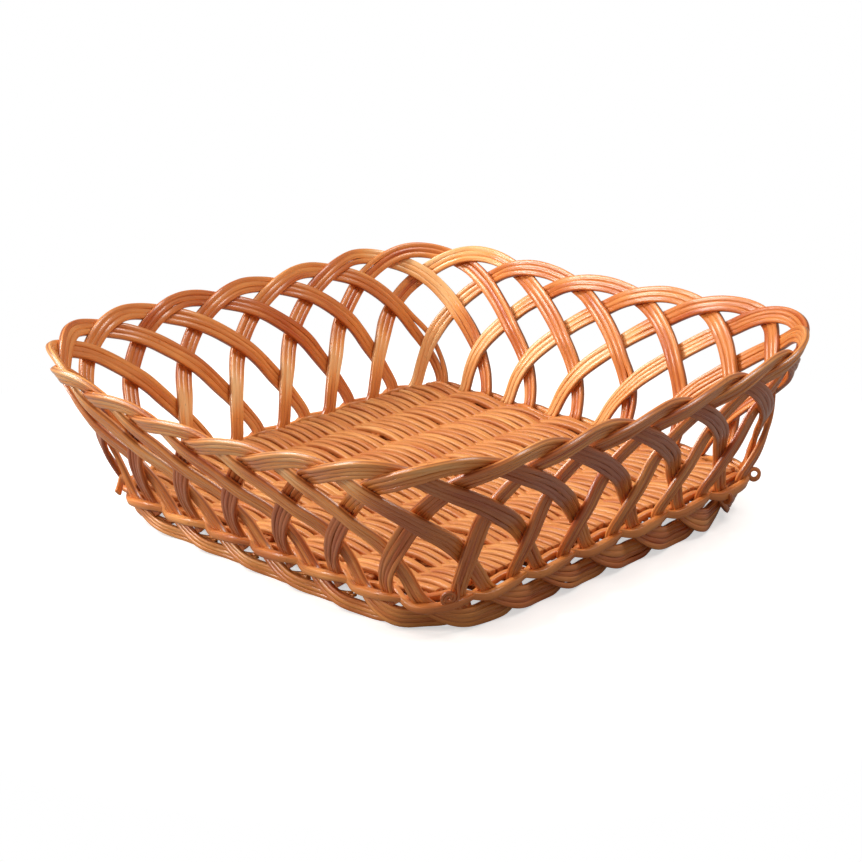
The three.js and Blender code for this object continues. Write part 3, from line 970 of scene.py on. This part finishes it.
def build_band(band):
    """Six thin rods that go over and under the stakes, each the other way from the one before."""
    rng = random.Random(BAND_SEED + band)
    piece = Piece()
    up = np.tile((0.0, 0.0, 1.0), (MAT_ROD_STEPS, 1))
    for rod in range(band * RODS_PER_BAND, (band + 1) * RODS_PER_BAND):
        low, high = mat_reach(0, mat_y(rod))
        x = np.linspace(low + rng.uniform(*MAT_END_GAP), high - rng.uniform(*MAT_END_GAP), MAT_ROD_STEPS)
        at = x - low
        side = mat_side(rod)
        swing = MAT_SWING * rng.uniform(*MAT_ROD_SWINGS) * (1.0 + wander(rng, at, *MAT_SWING_WOBBLE))
        bend = np.cos(math.pi * x / STAKE_PITCH)
        bend = np.sign(bend) * np.abs(bend) ** MAT_BEND_FULLNESS
        sway = wander(rng, at, *MAT_SWAY_WOBBLE)
        centres = np.stack([x, mat_y(rod) + sway, BASE_LEVEL + side * swing * bend], -1)
        centres = soften(centres, MAT_ROD_SOFTENING)
        across, out = frames(centres, up)
        size = MAT_ROD * rng.uniform(*MAT_ROD_SIZES) * (1.0 + wander(rng, at, *MAT_SIZE_WOBBLE))
        # Painted shade: each rod darker where it dips under a stake
        dipping = smoothstep(-side * bend, *MAT_DIP)
        tint = rng.uniform(*MAT_TINTS) + wander(rng, at, *MAT_TINT_WOBBLE) - MAT_DIP_PAINTED_SHADE * dipping
        piece.rod(centres, across, out, size * MAT_ROD_WIDENING, size * MAT_ROD_THINNING, at,
                  seed=rod + MAT_GRAIN_SEED, tint=tint, groove=MAT_GROOVE, sides=MAT_ROD_SIDES)
    piece.finish(f"rods_of_band_{band + 1:02d}", MAT_WICKER, [f"base_band_{band + 1:02d}"])


def build_stake(index):
    """Two rods side by side, which the mat's thin rods go over and under."""
    rng = random.Random(STAKE_SEED + index)
    piece = Piece()
    x0 = (index - (STAKES - 1) / 2.0) * STAKE_PITCH
    up = np.tile((0.0, 0.0, 1.0), (STAKE_STEPS, 1))
    for rod in (-1, 1):
        low, high = mat_reach(1, x0 + rod * STAKE_ROD)
        y = np.linspace(low + STAKE_END_GAP, high - STAKE_END_GAP, STAKE_STEPS)
        at = y - low
        x = x0 + rod * STAKE_ROD / 2.0 + wander(rng, at, *STAKE_WOBBLE)
        centres = np.stack([x, y, np.full_like(y, BASE_LEVEL)], -1)
        across, out = frames(centres, up)
        piece.rod(centres, across, out, STAKE_ROD, STAKE_ROD, at,
                  seed=STAKE_GRAIN_SEED + index * 2 + rod, tint=rng.uniform(*STAKE_TINTS), groove=STAKE_GROOVE)
    piece.finish(f"rods_of_stake_{index + 1}", STAKE_WICKER, [f"base_stake_{index + 1}"])


for loop in range(1, LOOP_COUNT + 1):
    build_loop(loop)
build_twine()
for band in range(MAT_BANDS):
    build_band(band)
for index in range(STAKES):
    build_stake(index)


# Floor, backdrop and lights

WHITE = (1.0, 1.0, 1.0)

# The floor's half size and height, in metres
FLOOR_HALF_SIZE = 4.0
FLOOR_HEIGHT = -0.0002

# The floor's own greys: as the camera sees it near the basket, with a glow, and as the basket sees it
FLOOR_SHADE = 0.82
FLOOR_GLOW = 0.56
FLOOR_BOUNCE = 0.3

# The distances from the middle, in metres, over which the floor fades into the backdrop
PAPER_RANGE = (0.13, 0.27)

AMBIENT_COLOUR = (1.0, 0.89, 0.77)
AMBIENT_STRENGTH = 0.34

# Lights, in metres: name, place, target, size, energy and colour
LIGHTS = (
    ("key_light", (-0.66, -0.4, 0.8), (0.0, 0.0, 0.04), 0.5, 9.6, (1.0, 0.97, 0.93)),
    ("left_light", (-0.6, -0.92, 0.46), (-0.02, -0.1, 0.06), 0.3, 5.8, (1.0, 0.95, 0.88)),
    ("top_light", (0.42, 0.3, 1.0), (0.0, 0.0, 0.03), 0.45, 5.5, (1.0, 0.98, 0.95)),
)


def floor_material():
    """A matt white floor that fades, for the camera, into the plain white backdrop."""
    recipe = Recipe(bpy.data.materials.new("floor_paint"))
    matt = recipe.shader("ShaderNodeBsdfDiffuse", (FLOOR_SHADE,) * 3)
    bounce = recipe.shader("ShaderNodeBsdfDiffuse", (FLOOR_BOUNCE,) * 3)
    near = recipe.node("ShaderNodeAddShader")
    recipe.feed(near.inputs[0], matt)
    recipe.feed(near.inputs[1], recipe.shader("ShaderNodeEmission", WHITE, FLOOR_GLOW))
    paper = recipe.shader("ShaderNodeEmission", WHITE, 1.0)
    distance = recipe.node("ShaderNodeVectorMath", operation="LENGTH")
    recipe.feed(distance.inputs[0], recipe.node("ShaderNodeNewGeometry").outputs["Position"])
    fade = recipe.ramp(distance.outputs["Value"], PAPER_RANGE)
    seen = recipe.mix(fade, near.outputs[0], paper)
    camera_ray = recipe.node("ShaderNodeLightPath").outputs["Is Camera Ray"]
    recipe.output("ShaderNodeOutputMaterial", recipe.mix(camera_ray, bounce, seen))
    return recipe.owner


def set_backdrop():
    """Plain white behind the basket for the camera, and a soft warm light from all round."""
    world = bpy.data.worlds.new("studio")
    bpy.context.scene.world = world
    recipe = Recipe(world)
    ambient = recipe.shader("ShaderNodeBackground", AMBIENT_COLOUR, AMBIENT_STRENGTH)
    backdrop = recipe.shader("ShaderNodeBackground", WHITE, 1.0)
    camera_ray = recipe.node("ShaderNodeLightPath").outputs["Is Camera Ray"]
    recipe.output("ShaderNodeOutputWorld", recipe.mix(camera_ray, ambient, backdrop))


def area_light(name, place, target, size, energy, colour):
    """A round light at a place, turned to a target."""
    data = bpy.data.lights.new(name, "AREA")
    data.shape = "DISK"
    data.size = size
    data.energy = energy
    data.color = colour
    lamp = bpy.data.objects.new(name, data)
    lamp.location = place
    lamp.rotation_euler = (Vector(target) - Vector(place)).to_track_quat("-Z", "Y").to_euler()
    bpy.context.scene.collection.objects.link(lamp)


floor_signs = ((-1, -1), (1, -1), (1, 1), (-1, 1))
floor_corners = [(x * FLOOR_HALF_SIZE, y * FLOOR_HALF_SIZE, FLOOR_HEIGHT) for x, y in floor_signs]
floor_mesh = bpy.data.meshes.new("floor")
floor_mesh.from_pydata(floor_corners, [], [(0, 1, 2, 3)])
floor = bpy.data.objects.new("floor", floor_mesh)
bpy.context.scene.collection.objects.link(floor)
floor.data.materials.append(floor_material())

set_backdrop()
for light in LIGHTS:
    area_light(*light)


# Camera: the photograph's angle, found by a fit of the basket's crowns, weave and foot

CAMERA_TARGET = Vector((1.0, 1.0, 35.4))
CAMERA_DISTANCE = 859.8
CAMERA_AZIMUTH = math.radians(45.0)
CAMERA_ELEVATION = math.radians(18.69)
CAMERA_LENS = 85.27
CAMERA_SENSOR = 36.0
CAMERA_CLIP_START = 0.01

camera_data = bpy.data.cameras.new("camera")
camera_data.sensor_width = CAMERA_SENSOR
camera_data.lens = CAMERA_LENS
camera_data.clip_start = CAMERA_CLIP_START
camera = bpy.data.objects.new("camera", camera_data)
bpy.context.scene.collection.objects.link(camera)
towards_camera = Vector((math.sin(CAMERA_AZIMUTH) * math.cos(CAMERA_ELEVATION),
                         -math.cos(CAMERA_AZIMUTH) * math.cos(CAMERA_ELEVATION),
                         math.sin(CAMERA_ELEVATION)))
camera.location = (CAMERA_TARGET + CAMERA_DISTANCE * towards_camera) * MM
camera.rotation_euler = (-towards_camera).to_track_quat("-Z", "Y").to_euler()
bpy.context.scene.camera = camera
bpy.context.scene.view_settings.view_transform = "Standard"
